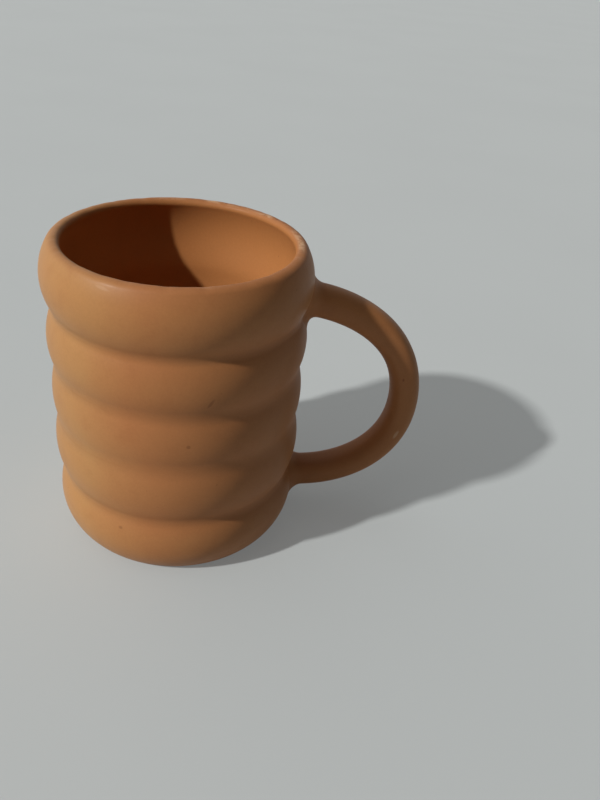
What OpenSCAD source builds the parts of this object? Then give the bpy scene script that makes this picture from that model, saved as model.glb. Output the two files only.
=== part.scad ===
// Ringed clay mug: a base disc, five rounded rings stacked on it and a looped handle, all bedded on slip.
// Millimetres, +Z up. The origin is the centre of the flat underside, and the handle points along +X.

/* [Ring heights] */
// Height of the bottom ring, from the underside to its crease
foot_ring_h = 20.6; // [18:0.1:24]
// Height of the second ring, crease to crease
lower_ring_h = 19.5; // [15:0.1:24]
// Height of the third ring, crease to crease
middle_ring_h = 17.5; // [14:0.1:22]
// Height of the fourth ring, crease to crease
upper_ring_h = 17.9; // [14:0.1:22]
// Height of the top ring, from its crease to the top of the lip
rim_ring_h = 19.5; // [17:0.1:24]

/* [Ring radii] */
// Radius at the crease over the bottom ring, which the underside and the rings above it follow
foot_crease_r = 35.8; // [33:0.1:39]
// How far the edge of the flat underside is tucked in under that crease
foot_tuck = 3.3; // [-0.5:0.1:8]
// How far the crease over the second ring stands out past the one below it
lower_crease_out = 1; // [-3:0.1:4.5]
// How far the crease over the third ring stands in from the one below it
middle_crease_in = 0.2; // [-3.5:0.1:4]
// How far the crease over the fourth ring stands in from the one below it
upper_crease_in = 0.4; // [-3:0.1:3.5]
// How far the top ring's outer curve stands in from its crease at the height of the lip
rim_top_in = 0.5; // [-2:0.1:3.5]

/* [Ring swell] */
// How far the bottom ring swells past the line between its edges
foot_swell = 3.5; // [2:0.1:5]
// How far the second ring swells past the line between its creases
lower_swell = 1.9; // [1:0.1:4]
// How far the third ring swells past the line between its creases
middle_swell = 1.4; // [1:0.1:4]
// How far the fourth ring swells past the line between its creases
upper_swell = 2.0; // [1:0.1:4]
// How far the top ring swells past the line between its edges
rim_swell = 3.0; // [2:0.1:4]

/* [Wall and floor] */
// Wall thickness at the creases
crease_wall = 3.3; // [2.5:0.1:5]
// How far the inside of each ring is hollowed
inner_swell = 0.3; // [0.2:0.1:1.2]
// How far the inside of the top ring is hollowed under the lip
rim_inner_swell = 1.9; // [0.6:0.1:3.2]
// Radius of the lip's outer shoulder
lip_r = 2.5; // [1.6:0.1:4]
// Radius of the lip's inner edge
lip_edge_r = 1.5; // [0.8:0.1:1.8]
// How far the inner edge's crest stands in from the shoulder's
lip_edge_in = 0.1; // [0.1:0.05:1]
// How far the lip's roll stands proud of the top ring's curves
lip_proud = 0.05; // [0.03:0.01:0.2]
// Angle over which the lip rolls under on the inside
lip_turn = 25; // [8:1:44]
// Thickness of the base disc
floor_t = 5.5; // [4:0.1:8]
// Wall thickness at the floor
floor_wall = 4.8; // [4:0.1:8.5]
// Radius of the fillet in the inside corner
corner_r = 6; // [3:0.1:8]

/* [Handle] */
// Width of the handle's oval section, across the loop
handle_w = 11.5; // [9:0.1:16]
// Fullness of that section: 2 is an ellipse, and more is nearer a rounded block
handle_fullness = 2.3; // [1.8:0.1:3]
// Thickness of the handle at its upper end
handle_top_t = 10; // [8:0.1:13]
// Thickness of the handle at its upper bend
handle_bend_t = 9.9; // [7:0.1:13]
// Thickness of the handle at its outermost point
handle_mid_t = 9.3; // [7:0.1:12]
// Thickness of the handle at its lower end
handle_low_t = 9.4; // [7:0.1:12]
// Distance from the upper crease out to the handle's centre line at its outermost point
handle_out = 37.1; // [30:0.1:46]
// How far the outermost point sits below the middle of the two arms
handle_droop = 2.9; // [0:0.1:6]
// Height over the upper crease at which the upper arm starts to bend
handle_top_rise = 1.2; // [-2:0.05:5]
// Depth under the foot crease at which the lower arm starts to bend
handle_low_drop = 7.6; // [6:0.1:9]
// Length of the straight stub at each end, from the crease radius outwards
handle_stub = 5.9; // [5:0.1:8]
// Angle at which the upper arm falls from the wall
top_slope = 12; // [0:1:16]
// Angle at which the lower arm rises from the wall
low_slope = 1; // [0:1:8]
// How far the upper arm runs on before it bends
top_pull = 13.9; // [8:0.1:20]
// How far the loop stays upright above its outermost point
bend_up = 21.8; // [14:0.1:26]
// How far the loop stays upright below its outermost point
bend_down = 18.4; // [12:0.1:24]
// How far the lower arm runs on before it bends
low_pull = 17.2; // [10:0.1:24]

/* [Slip] */
// Thickness of the slip beds
slip_t = 0.6; // [0.4:0.05:1]
// How far the slip fillet spreads over the wall around each end of the handle
slip_spread = 4.0; // [2:0.1:4.8]
// How far the bend of the slip fillet stands off the wall
slip_lift = 1.2; // [0.2:0.05:2]
// Clearance between the handle's slip and the curved wall
seat_gap = 0.05; // [0.03:0.01:0.15]

/* [Hidden] */
$fn = 180;

clay = "#b98659";
wet_clay = "#a87548";

// Sides of the handle's section, steps along its loop, and rings in each slip bed and fillet
handle_sides = 32;
loop_steps = 44;
pad_rings = 3;
fillet_rings = 6;

// Radii of the underside, the creases and the top ring's outer curve at the lip
foot_r = foot_crease_r - foot_tuck;
lower_crease_r = foot_crease_r + lower_crease_out;
middle_crease_r = lower_crease_r - middle_crease_in;
upper_crease_r = middle_crease_r - upper_crease_in;
rim_top_r = upper_crease_r - rim_top_in;

// Heights and radii of the creases, from the foot up
foot_crease_z = foot_ring_h;
lower_crease_z = foot_crease_z + lower_ring_h;
middle_crease_z = lower_crease_z + middle_ring_h;
upper_crease_z = middle_crease_z + upper_ring_h;
mug_h = upper_crease_z + rim_ring_h;
crease_z = [foot_crease_z, lower_crease_z, middle_crease_z, upper_crease_z];
crease_r = [foot_crease_r, lower_crease_r, middle_crease_r, upper_crease_r];
swell = [foot_swell, lower_swell, middle_swell, upper_swell, rim_swell];

// The rings by their place in the stack
foot = 0;
lower = 1;
middle = 2;
upper = 3;
rim = 4;

// Lower and upper end of each ring's outer curve, as [radius, height]
function ring_low(i) = i == foot ? [foot_r, 0] : [crease_r[i - 1], crease_z[i - 1] + slip_t / 2];
function ring_high(i) = i == rim ? [rim_top_r, mug_h] : [crease_r[i], crease_z[i] - slip_t / 2];

// An arc from point a up to point b that stands out from the line between them by rise
function outward(a, b) = [b.y - a.y, a.x - b.x] / norm(b - a);
function arc_r(a, b, rise) = (norm(b - a) ^ 2 / 4 + rise ^ 2) / (2 * rise);
function arc_centre(a, b, rise) = (a + b) / 2 - (arc_r(a, b, rise) - rise) * outward(a, b);

// Outer curve of ring i: its radius and centre, and the wall's radius at height z
function outer_r(i) = arc_r(ring_low(i), ring_high(i), swell[i]);
function outer_centre(i) = arc_centre(ring_low(i), ring_high(i), swell[i]);
function ring_r(i, z) = outer_centre(i).x + sqrt(max(0, outer_r(i) ^ 2 - (z - outer_centre(i).y) ^ 2));
function wall_r(z) = max(concat(
    [for (i = [foot : rim]) if (z >= ring_low(i).y && z <= ring_high(i).y) ring_r(i, z)],
    [for (j = [foot : upper]) if (abs(z - crease_z[j]) <= slip_t / 2) crease_r[j]]));

// The lip is two circles that reach the full height. The shoulder's stands a little proud of the top ring's
// outer curve, and the inner edge's a little proud of its inner curve.
lip_z = mug_h - lip_r;
lip_core_r = lip_r - lip_proud;
lip_from = outer_centre(rim);
lip_reach = outer_r(rim) - lip_core_r;
lip_centre = [lip_from.x + sqrt(lip_reach ^ 2 - (lip_z - lip_from.y) ^ 2), lip_z];
lip_outer = lip_centre + lip_core_r * (lip_centre - lip_from) / lip_reach;
edge_centre = [lip_centre.x - lip_edge_in, mug_h - lip_edge_r];
lip_inner = edge_centre - (lip_edge_r - lip_proud) * [cos(lip_turn), sin(lip_turn)];

// Height at which the wall stands on the base joint's slip, and radius of the inside at the floor
wall_z = floor_t + slip_t;
floor_r = ring_r(foot, floor_t) - floor_wall;

// Inner curve of ring i: its two ends, how far it is hollowed, its radius and its centre
function inner_low(i) = i == foot ? [floor_r, floor_t] : ring_low(i) - [crease_wall, 0];
function inner_high(i) = i == rim ? lip_inner : ring_high(i) - [crease_wall, 0];
function hollow(i) = i == rim ? rim_inner_swell : inner_swell;
function inner_r(i) = arc_r(inner_low(i), inner_high(i), hollow(i));
function inner_centre(i) = arc_centre(inner_low(i), inner_high(i), hollow(i));

// Centre of the fillet in the inside corner, which leaves a thin edge of slip on the floor and on the wall
corner_z = floor_t + slip_t / 2 + corner_r;
corner_from = inner_centre(foot);
corner_reach = inner_r(foot) - slip_t / 2 - corner_r;
corner_centre = [corner_from.x + sqrt(corner_reach ^ 2 - (corner_z - corner_from.y) ^ 2), corner_z];

// Flat profiles in the plane of [radius, height]
module profile_disc(centre, r) {
  translate(centre)
    circle(r = r);
}

module outer_disc(i) {
  profile_disc(outer_centre(i), outer_r(i));
}

module inner_disc(i) {
  profile_disc(inner_centre(i), inner_r(i));
}

// Everything from radius r outwards between two heights
module band(z_low, z_high, r = 0) {
  translate([r, z_low])
    square([2 * crease_r[foot], z_high - z_low]);
}

module ring_profile(i, z_low, z_high) {
  intersection() {
    band(z_low, z_high, outer_centre(i).x);
    difference() {
      outer_disc(i);
      inner_disc(i);
    }
  }
}

module turned() {
  rotate_extrude()
    children();
}

// Base disc and the slip that beds the wall on it
module base_disc() {
  color(clay)
    turned() {
      square([outer_centre(foot).x, floor_t]);
      intersection() {
        band(0, floor_t, outer_centre(foot).x);
        outer_disc(foot);
      }
    }
}

module base_joint_slip() {
  color(wet_clay)
    turned()
      difference() {
        union() {
          intersection() {
            band(floor_t, wall_z, corner_centre.x);
            outer_disc(foot);
          }
          intersection() {
            band(floor_t, corner_z, corner_centre.x);
            inner_disc(foot);
          }
        }
        profile_disc(corner_centre, corner_r);
      }
}

// The five rings
module foot_ring() {
  color(clay)
    turned()
      ring_profile(foot, wall_z, ring_high(foot).y);
}

module wall_ring(i) {
  color(clay)
    turned()
      ring_profile(i, ring_low(i).y, ring_high(i).y);
}

module lower_ring() {
  wall_ring(lower);
}

module middle_ring() {
  wall_ring(middle);
}

module upper_ring() {
  wall_ring(upper);
}

module rim_ring() {
  color(clay)
    turned() {
      intersection() {
        ring_profile(rim, ring_low(rim).y, lip_outer.y);
        band(ring_low(rim).y, lip_outer.y, edge_centre.x);
      }
      intersection() {
        band(lip_z, mug_h + lip_r, edge_centre.x);
        profile_disc(lip_centre, lip_r);
      }
      intersection() {
        ring_profile(rim, ring_low(rim).y, lip_inner.y);
        square([lip_centre.x, mug_h]);
      }
      profile_disc(edge_centre, lip_edge_r);
    }
}

// The slip bed in the crease over ring i
module crease_slip(i) {
  bed_z = crease_z[i] - slip_t / 2;
  color(wet_clay)
    difference() {
      translate([0, 0, bed_z])
        cylinder(r = crease_r[i], h = slip_t);
      translate([0, 0, bed_z - slip_t])
        cylinder(r = crease_r[i] - crease_wall, h = 3 * slip_t);
    }
}

module foot_crease_slip() {
  crease_slip(foot);
}

module lower_crease_slip() {
  crease_slip(lower);
}

module middle_crease_slip() {
  crease_slip(middle);
}

module upper_crease_slip() {
  crease_slip(upper);
}

// Centre line of the handle, as [distance from the axis, height]: two curves that meet furthest out
top_start = [upper_crease_r + handle_stub, upper_crease_z + handle_top_rise];
low_start = [foot_crease_r + handle_stub, foot_crease_z - handle_low_drop];
top_way = [cos(top_slope), -sin(top_slope)];
low_way = [cos(low_slope), sin(low_slope)];
outermost = [upper_crease_r + handle_out, (top_start.y + low_start.y) / 2 - handle_droop];
top_curve = [top_start, top_start + top_pull * top_way, outermost + [0, bend_up], outermost];
low_curve = [outermost, outermost - [0, bend_down], low_start + low_pull * low_way, low_start];

function bezier(p, t) =
    (1 - t) ^ 3 * p[0] + 3 * (1 - t) ^ 2 * t * p[1] + 3 * (1 - t) * t ^ 2 * p[2] + t ^ 3 * p[3];
function bezier_way(p, t) =
    (1 - t) ^ 2 * (p[1] - p[0]) + 2 * (1 - t) * t * (p[2] - p[1]) + t ^ 2 * (p[3] - p[2]);

// Along the loop, u runs from 0 at the upper stub through 1 at the outermost point to 2 at the lower stub.
// The upper bend is halfway to the outermost point.
upper_bend = 0.5;
function loop_point(u) = u < 1 ? bezier(top_curve, u) : bezier(low_curve, u - 1);
function loop_way(u) =
    let (way = u < 1 ? bezier_way(top_curve, u) : bezier_way(low_curve, u - 1))
    way / norm(way);
function loop_t(u) =
    lookup(u, [[0, handle_top_t], [upper_bend, handle_bend_t], [1, handle_mid_t], [2, handle_low_t]]);

// Oval ring of points at a place on the loop, square to its way
function fuller(share) = sign(share) * abs(share) ^ (2 / handle_fullness);
function oval(place, way, half_t, half_w) =
    [for (k = [0 : handle_sides - 1])
      let (a = 360 * k / handle_sides, p = place + half_t * fuller(cos(a)) * [-way.y, way.x])
      [p.x, half_w * fuller(sin(a)), p.y]];

// Point where a line from p back along arm comes within a given gap of the wall, found by halving
function over_wall(q) = norm([q.x, q.y]) - wall_r(q.z);
function wall_hit(p, arm, gap, near = 0, far = 2 * handle_stub, halvings = 30) =
    let (mid = (near + far) / 2, q = p - mid * arm)
    halvings == 0 ? q :
    over_wall(q) > gap ? wall_hit(p, arm, gap, mid, far, halvings - 1) :
    wall_hit(p, arm, gap, near, mid, halvings - 1);
function on_wall(ring, arm, gap) = [for (p = ring) wall_hit(p, [arm.x, 0, arm.y], gap)];

// Rings of a bed on the wall, from its middle out to an oval that is spread wider than the handle.
// The ovals are square to way, and the arm stands out from the wall along arm.
function bed(place, way, arm, thick, spread, gap) =
    [for (k = [1 : pad_rings])
      let (share = k / pad_rings)
      on_wall(oval(place, way, (thick / 2 + spread) * share, (handle_w / 2 + spread) * share), arm, gap)];
function bed_middle(place, arm, gap) = wall_hit([place.x, 0, place.y], [arm.x, 0, arm.y], gap);

// Solid skinned over a stack of rings that closes in a point at both ends
module ring_stack(first, rings, last) {
  n = len(rings[0]);
  end = len(rings) * n + 1;
  points = concat([first], [for (ring = rings) each ring], [last]);
  sides = [for (i = [0 : len(rings) - 2], k = [0 : n - 1])
            let (a = 1 + i * n + k, b = 1 + i * n + (k + 1) % n)
            each [[a, b, b + n], [a, b + n, a + n]]];
  caps = [for (k = [0 : n - 1])
           let (a = 1 + k, b = 1 + (k + 1) % n)
           each [[0, b, a], [end, end - n - 1 + a, end - n - 1 + b]]];
  polyhedron(points = points, faces = concat(sides, caps));
}

function reversed(list) = [for (i = [len(list) - 1 : -1 : 0]) list[i]];

// The handle: both ends sit on their slip beds
module handle() {
  top_end = bed(top_start, top_way, top_way, handle_top_t, 0, slip_t);
  low_end = bed(low_start, -low_way, low_way, handle_low_t, 0, slip_t);
  loop = [for (s = [0 : loop_steps])
           let (u = 2 * s / loop_steps)
           oval(loop_point(u), loop_way(u), loop_t(u) / 2, handle_w / 2)];
  color(clay)
    ring_stack(bed_middle(top_start, top_way, slip_t), concat(top_end, loop, reversed(low_end)),
               bed_middle(low_start, low_way, slip_t));
}

// Slip around one end of the handle: a bed on the wall, a fillet up to the handle and a seat for its end
module handle_slip(start, arm, thick) {
  pad = bed(start, arm, arm, thick, slip_spread, seat_gap);
  toe = pad[pad_rings - 1];
  rise = oval(start, arm, thick / 2, handle_w / 2);
  root = on_wall(rise, arm, 0);
  fillet = [for (f = [1 : fillet_rings])
             let (t = f / fillet_rings)
             [for (k = [0 : handle_sides - 1])
               let (knee = root[k] + slip_lift * [arm.x, 0, arm.y])
               (1 - t) ^ 2 * toe[k] + 2 * t * (1 - t) * knee + t ^ 2 * rise[k]]];
  seat = bed(start, arm, arm, thick, 0, slip_t);
  color(wet_clay)
    ring_stack(bed_middle(start, arm, seat_gap), concat(pad, fillet, reversed(seat)),
               bed_middle(start, arm, slip_t));
}

module upper_handle_slip() {
  handle_slip(top_start, top_way, handle_top_t);
}

module lower_handle_slip() {
  handle_slip(low_start, low_way, handle_low_t);
}

base_disc();
base_joint_slip();
foot_ring();
foot_crease_slip();
lower_ring();
lower_crease_slip();
middle_ring();
middle_crease_slip();
upper_ring();
upper_crease_slip();
rim_ring();
handle();
upper_handle_slip();
lower_handle_slip();
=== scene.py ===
import math

import bpy
import numpy as np
from mathutils import Matrix, Vector


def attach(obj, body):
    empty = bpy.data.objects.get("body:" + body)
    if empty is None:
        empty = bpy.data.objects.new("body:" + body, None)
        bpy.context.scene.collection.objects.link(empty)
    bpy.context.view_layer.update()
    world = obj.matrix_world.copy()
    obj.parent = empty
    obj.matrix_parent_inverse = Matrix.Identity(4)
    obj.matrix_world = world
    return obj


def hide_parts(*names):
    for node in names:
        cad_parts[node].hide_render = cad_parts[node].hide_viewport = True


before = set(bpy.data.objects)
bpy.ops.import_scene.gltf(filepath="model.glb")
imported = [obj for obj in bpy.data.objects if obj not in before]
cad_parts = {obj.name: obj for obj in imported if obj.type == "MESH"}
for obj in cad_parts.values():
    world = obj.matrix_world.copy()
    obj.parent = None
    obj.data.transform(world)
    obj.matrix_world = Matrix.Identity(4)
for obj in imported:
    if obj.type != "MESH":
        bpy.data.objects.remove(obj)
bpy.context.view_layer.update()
print("frame loaded:", len(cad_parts), "nodes")

mm = 0.001
twoPi = 2 * math.pi
quarterTurn = math.pi / 2
sharpFrom = math.radians(50)  # edges that turn by more than this stay crisp


# body of the mug: five turned rings on a base disc, millimetres, rings listed from the foot up
body = {
    "height": 95.0,
    "footR": 32.5,
    "creaseZ": (20.6, 40.1, 57.6, 75.5),
    "creaseR": (35.8, 36.8, 36.6, 36.2),
    "rimTopR": 35.7,
    "swell": (3.5, 1.9, 1.4, 2.0, 3.0),
    "creaseWall": 3.3,
    "floorT": 5.5,
    "floorWall": 4.8,
    "innerSwell": 0.3,
    "rimInnerSwell": 1.9,
    "lipR": 2.5,          # outer shoulder of the lip
    "lipEdgeR": 1.5,      # inner edge of the lip
    "lipEdgeIn": 0.1,     # from the shoulder's crest in to the edge's
    "cornerR": 6.0,
    "slipT": 0.6,
    "slipEdge": 0.06,     # thickness of the slip where its fillet runs out
    "foldSoft": 2.2,      # how far each crease is softened
    "innerSoft": 0.9,     # the same on the inside
    "rimInnerSoft": 3.0,  # the same under the hollow of the top ring
    "footRound": 1.4,     # rounding of the edge the mug stands on
    "outOfRound": 0.12,   # most the wall is pressed in by hand
    "unlevel": 0.12,      # most the lip dips
    "creaseWave": 0.2,    # most a crease rises or falls
    "floorRipple": 0.12,  # depth of the rings on the floor
    "lipChip": 0.12,      # most the lip's edge is worn down
    "turnSteps": 288,
    "rimTurnSteps": 576,
    "outerSteps": 44,
    "innerSteps": 26,
}

# fixed waves of the hand and of use: turns are waves round the mug, a lag is in radians, and a rise
# is the height in millimetres for one radian
handWaves = {
    "press": ((0.28, 2, 0.6, math.inf),  # share, turns, lag, rise
              (0.14, 3, -1.0, 30),
              (0.08, 5, 0.0, 11)),
    "pressFullR": 30.0,   # the press fades from this radius to the axis
    "dipLag": 2.2,
    "creaseTurns": 3,
    "creaseRise": 9,
    "chipTurns": (23, 37),
    "chipLag": 0.4,
    "chipSway": 2.0,      # radians
    "chipSwayTurns": 5,
    "ripplePitch": 0.9,   # radians for each millimetre out from the axis
    "rippleR": 24.0,      # where the floor's rings end
    "rippleFade": 4.0,    # how far they take to fade there, and at the axis
}

# fixed reaches of the masks that the finish reads
maskReach = {
    "fold": 1.3,          # millimetres from a crease
    "crest": 2.5,         # swell that counts as a full crest
    "edge": 1.1,          # in radii of the lip's edge
    "under": 0.5,         # millimetres up from the underside
    "insideFrom": 110,    # degrees round the lip's edge where the inside's finish starts
    "insideOver": 60,     # degrees it takes to come in
}

# fixed counts of points along the shorter stretches of the profiles
profileSteps = {
    "across": 3,
    "shoulder": 22,
    "lipEdge": 26,
    "footRound": 14,
    "under": 20,
    "footWall": 16,
    "floor": 60,
    "bed": 12,
    "face": 6,
    "climb": 12,
    "corner": 28,
}


# circle through low and high whose middle stands rise out from the chord between them:
# radius = (chord squared / 4 + rise squared) / (2 rise), centre = middle - (radius - rise) * outward
def arcThrough(low, high, rise):
    low, high = np.array(low, float), np.array(high, float)
    chord = np.linalg.norm(high - low)
    radius = (chord ** 2 / 4 + rise ** 2) / (2 * rise)
    outward = np.array([high[1] - low[1], low[0] - high[0]]) / chord
    return (low + high) / 2 - (radius - rise) * outward, radius


# distance of a circle's outer side from the axis at height z:
# centre + sqrt(radius squared - height over the centre squared)
def arcReach(z, arc):
    centre, radius = arc
    return centre[0] + np.sqrt(np.maximum(radius ** 2 - (z - centre[1]) ** 2, 0))


# the larger of a and b, with a fillet where they come within soft of each other:
# b + (a - b) share + soft share (1 - share), the share growing evenly from 0 to 1 across the fillet
def softMax(a, b, soft):
    share = np.clip(0.5 + 0.5 * (a - b) / soft, 0, 1)
    return b + (a - b) * share + soft * share * (1 - share)


# outer side of a stack of circles at height z: their soft maximum
def stackReach(z, arcs, soft):
    reach = arcReach(z, arcs[0])
    for arc in arcs[1:]:
        reach = softMax(reach, arcReach(z, arc), soft)
    return reach


# circle of radius inner that touches a larger one from inside, its centre at height z: the centre lies
# radius - inner from the larger one's. Gives the centre and the angle of the touch
def touchInside(arc, inner, z):
    centre, radius = arc
    away = radius - inner
    middle = np.array([centre[0] + math.sqrt(away ** 2 - (z - centre[1]) ** 2), z])
    return middle, math.atan2(z - centre[1], middle[0] - centre[0])


# points on a circle at the given angles: centre + radius (cosine, sine)
def roundOff(centre, radius, turn):
    return centre + radius * np.stack([np.cos(turn), np.sin(turn)], -1)


# heights from low to high, closer together at both ends: half a cosine wave
def closeEnds(low, high, count):
    return low + (high - low) * (0.5 - 0.5 * np.cos(np.linspace(0, math.pi, count)))


halfSlip = body["slipT"] / 2
creaseZ = body["creaseZ"]
creases = list(zip(body["creaseR"], creaseZ))
outerLow = [(body["footR"], 0.0)] + [(r, z + halfSlip) for r, z in creases]
outerHigh = [(r, z - halfSlip) for r, z in creases] + [(body["rimTopR"], body["height"])]
outerArcs = [arcThrough(a, b, s) for a, b, s in zip(outerLow, outerHigh, body["swell"])]


# outside of the wall at height z: soft maximum of the five rings' circles
def outerWall(z):
    return stackReach(z, outerArcs, body["foldSoft"])


# lip: a shoulder that touches the top ring's circle from inside, and a smaller edge as high beside it
shoulderZ = body["height"] - body["lipR"]
shoulder, shoulderFrom = touchInside(outerArcs[-1], body["lipR"], shoulderZ)
lipEdge = np.array([shoulder[0] - body["lipEdgeIn"], body["height"] - body["lipEdgeR"]])

# inner circles: one hollow for each ring, the top one touching the lip's edge from outside
wallIn = np.array([body["creaseWall"], 0.0])
floorR = float(outerWall(np.array(body["floorT"]))) - body["floorWall"]
innerLow = [np.array([floorR, body["floorT"]])] + [np.array(p) - wallIn for p in outerLow[1:]]
innerHigh = [np.array(p) - wallIn for p in outerHigh[:-1]]
innerArcs = [arcThrough(a, b, body["innerSwell"]) for a, b in zip(innerLow, innerHigh)]
lipInside = lipEdge - np.array([body["lipEdgeR"], 0.0])
hollowR = arcThrough(innerLow[-1], lipInside, body["rimInnerSwell"])[1]


# centre of the circle of hollowR through start that touches the lip's edge from outside:
# where circles of hollowR about start and hollowR + lipEdgeR about the edge cross, nearer the axis
def hollowCentre(start):
    across = lipEdge - start
    gap = np.linalg.norm(across)
    along = (gap ** 2 + hollowR ** 2 - (hollowR + body["lipEdgeR"]) ** 2) / (2 * gap)
    aside = math.sqrt(hollowR ** 2 - along ** 2)
    return start + (along * across + aside * np.array([-across[1], across[0]])) / gap


innerArcs.append((hollowCentre(innerLow[-1]), hollowR))
lipTo = math.atan2(*(innerArcs[-1][0] - lipEdge)[::-1]) % twoPi


# inside of the wall at height z: soft maximum of the hollows, softer under the top one
def innerWall(z):
    lower = stackReach(z, innerArcs[:-1], body["innerSoft"])
    return softMax(lower, arcReach(z, innerArcs[-1]), body["rimInnerSoft"])


# share of the press at an angle and height: a half and three slow waves, from 0 to 1
def pressShare(theta, z):
    total = 0.5
    for share, turns, lag, rise in handWaves["press"]:
        total = total + share * np.cos(turns * theta + lag + z / rise)
    return total


# how far a height is moved at an angle: the lip's dip grows with height, the crease wave is a cosine
# round the mug that dies out at both ends
def heightShift(theta, z):
    up = z / body["height"]
    dip = body["unlevel"] * up * (0.5 + 0.5 * np.cos(theta + handWaves["dipLag"]))
    swing = np.cos(handWaves["creaseTurns"] * theta + z / handWaves["creaseRise"])
    return body["creaseWave"] * np.sin(math.pi * np.clip(up, 0, 1)) * swing - dip


# how far the top of the lip is worn down at an angle: a product of two short waves, felt only
# near the top
def lipWear(theta, z):
    first, second = handWaves["chipTurns"]
    sway = handWaves["chipSway"] * np.cos(handWaves["chipSwayTurns"] * theta)
    waves = ((0.5 + 0.5 * np.cos(first * theta + handWaves["chipLag"]))
             * (0.5 + 0.5 * np.cos(second * theta + sway)))
    return body["lipChip"] * waves * np.clip((z - lipEdge[1]) / body["lipEdgeR"], 0, 1)


# a profile point turned to an angle, in metres: radius less the press, height plus the shift less
# the wear
def handTurned(r, z, theta):
    reach = r - body["outOfRound"] * pressShare(theta, z) * np.clip(r / handWaves["pressFullR"], 0, 1)
    height = z + heightShift(theta, z) - lipWear(theta, z)
    return np.stack([reach * np.cos(theta), reach * np.sin(theta), height], -1) * mm


# outer wall's distance from the axis at an angle and a true height: the shift is taken back out first
def wallAt(theta, height):
    z = height - heightShift(theta, height)
    return outerWall(z) - body["outOfRound"] * pressShare(theta, z)


# mesh over rings of points: neighbours joined by quads, ends joined to each other or closed in a pole
def ringMesh(name, rings, poles, masks):
    rows, around = rings.shape[:2]
    index = np.arange(rows * around).reshape(rows, around)
    here = index if poles is None else index[:-1]
    above = np.roll(index, -1, 0) if poles is None else index[1:]
    quads = np.stack([here, np.roll(here, -1, 1), np.roll(above, -1, 1), above], -1).reshape(-1, 4)
    points = rings.reshape(-1, 3)
    fans = np.zeros((0, 3), int)
    if poles is not None:
        first, last = rows * around, rows * around + 1
        points = np.vstack([points, poles])
        low = np.stack([np.roll(index[0], -1), index[0], np.full(around, first)], -1)
        high = np.stack([index[-1], np.roll(index[-1], -1), np.full(around, last)], -1)
        fans = np.vstack([low, high])
    corners = np.vstack([quads[:, [0, 1, 2]], quads[:, [0, 2, 3]], fans])
    a, b, c = (points[corners[:, k]] for k in range(3))
    if np.einsum("ij,ij->i", a, np.cross(b, c)).sum() < 0:  # inside out
        quads, fans = quads[:, ::-1], fans[:, ::-1]
    mesh = bpy.data.meshes.new(name)
    mesh.from_pydata(points.tolist(), [], quads.tolist() + fans.tolist())
    for maskName, mask in masks.items():
        values = np.asarray(mask, np.float32).reshape(-1)
        if poles is not None:
            values = np.append(values, [values[:around].mean(), values[-around:].mean()])
        layer = mesh.attributes.new(maskName, "FLOAT", "POINT")
        layer.data.foreach_set("value", values.astype(np.float32))
    mesh.shade_smooth()
    mesh.set_sharp_from_angle(angle=sharpFrom)
    mesh.update()
    piece = bpy.data.objects.new(name, mesh)
    bpy.context.scene.collection.objects.link(piece)
    return piece


# how near a height is to a crease: bell curve of the distance
def creaseNear(z):
    return np.max([np.exp(-((z - c) / maskReach["fold"]) ** 2) for c in creaseZ], 0)


# how near the wall's crest a point is: its share of a full swell, squared
def crestNear(r, z):
    line = np.interp(z, (0,) + creaseZ + (body["height"],),
                     (body["footR"],) + body["creaseR"] + (body["rimTopR"],))
    return np.clip((r - line) / maskReach["crest"], 0, 1) ** 2


# how near the top of the lip's edge a point is: bell curve of the distance
def edgeNear(r, z):
    away = (r - lipEdge[0]) ** 2 + (z - body["height"]) ** 2
    return np.exp(-away / (maskReach["edge"] * body["lipEdgeR"]) ** 2)


# surface of revolution from a closed profile, or from one that starts and ends on the axis
def turnedPiece(name, profile, inside, onAxis=False, steps=body["turnSteps"]):
    core = slice(1, -1) if onAxis else slice(None)
    r, z = np.array(profile, float).T
    theta = np.arange(steps) * twoPi / steps
    turn, reach = np.meshgrid(theta, r[core])
    height = np.repeat(z[core][:, None], steps, 1)
    within = np.repeat(np.array(inside, float)[core][:, None], steps, 1)
    masks = {
        # fold: dust and painted shade in the creases
        "fold": creaseNear(height) * (1 - within),
        "rub": crestNear(reach, height) * (1 - within),
        "edge": edgeNear(reach, height),
        "inside": within,
        "under": np.clip(1 - height / maskReach["under"], 0, 1),
    }
    poles = handTurned(r[[0, -1]], z[[0, -1]], np.zeros(2)) if onAxis else None
    return ringMesh(name, handTurned(reach, height, turn), poles, masks)


# straight way from one profile point to the next, without the two points
def acrossTo(start, end):
    return start + np.linspace(0, 1, profileSteps["across"] + 2)[1:-1, None] * (end - start)


# ring between two heights: up the outer wall, in, down the inner wall and out again
def ringProfile(low, high):
    up, down = closeEnds(low, high, body["outerSteps"]), closeEnds(high, low, body["innerSteps"])
    outer, inner = np.stack([outerWall(up), up], -1), np.stack([innerWall(down), down], -1)
    top, bottom = acrossTo(outer[-1], inner[0]), acrossTo(inner[-1], outer[0])
    inside = np.r_[np.zeros(len(outer)), np.linspace(0, 1, len(top)),
                   np.ones(len(inner)), np.linspace(1, 0, len(bottom))]
    return np.vstack([outer, top, inner, bottom]), inside


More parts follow.
